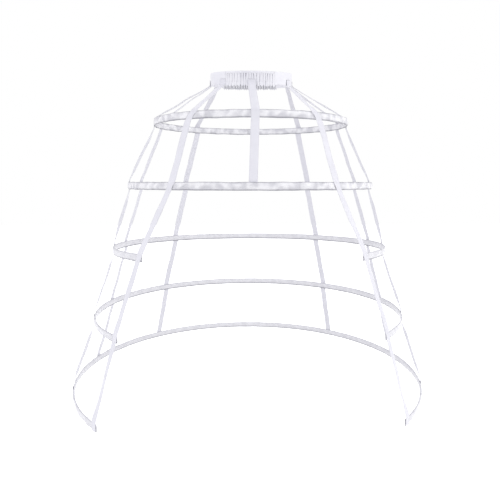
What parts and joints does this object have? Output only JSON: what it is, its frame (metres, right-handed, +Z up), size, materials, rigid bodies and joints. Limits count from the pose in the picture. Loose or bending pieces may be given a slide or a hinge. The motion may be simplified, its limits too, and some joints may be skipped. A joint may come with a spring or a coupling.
{
  "type": "crinoline cage",
  "caption": "Open-front crinoline cage: satin-cased hoops hung on ribbon tapes from a gathered elastic waistband, to hold a skirt out.",
  "frame": {"origin": "centre of the waist opening, midway up the waistband", "axes": "+Z up, the open front faces -Y, +X towards the right of a viewer in front"},
  "size_m": [0.906, 0.7686, 0.8158],
  "materials": {
    "satin": "satin",
    "ribbon": "satin",
    "elastic": "woven",
    "spring_steel": "brushed",
    "tip_plastic": "matte"
  },
  "bodies": {
    "root": {"hoop_1_bone": "spring_steel", "hoop_1_casing": "satin", "hoop_1_joiner": "spring_steel", "hoop_2_bone": "spring_steel", "hoop_2_casing": "satin", "hoop_2_joiner": "spring_steel", "hoop_3_bone": "spring_steel", "hoop_3_casing": "satin", "hoop_3_tip_left": "tip_plastic", "hoop_3_tip_right": "tip_plastic", "hoop_4_bone": "spring_steel", "hoop_4_casing": "satin", "hoop_4_tip_left": "tip_plastic", "hoop_4_tip_right": "tip_plastic", "hoop_5_bone": "spring_steel", "hoop_5_casing": "satin", "hoop_5_tip_left": "tip_plastic", "hoop_5_tip_right": "tip_plastic", "tape_back_left": "ribbon", "tape_back_right": "ribbon", "tape_front_centre": "ribbon", "tape_front_left": "ribbon", "tape_front_right": "ribbon", "tape_side_back_left": "ribbon", "tape_side_back_right": "ribbon", "tape_side_left": "ribbon", "tape_side_right": "ribbon", "waist_elastic_back": "elastic", "waist_elastic_front": "elastic", "waistband_back": "satin", "waistband_front": "satin", "waistband_side_left": "satin", "waistband_side_right": "satin"}
  },
  "joints": []
}
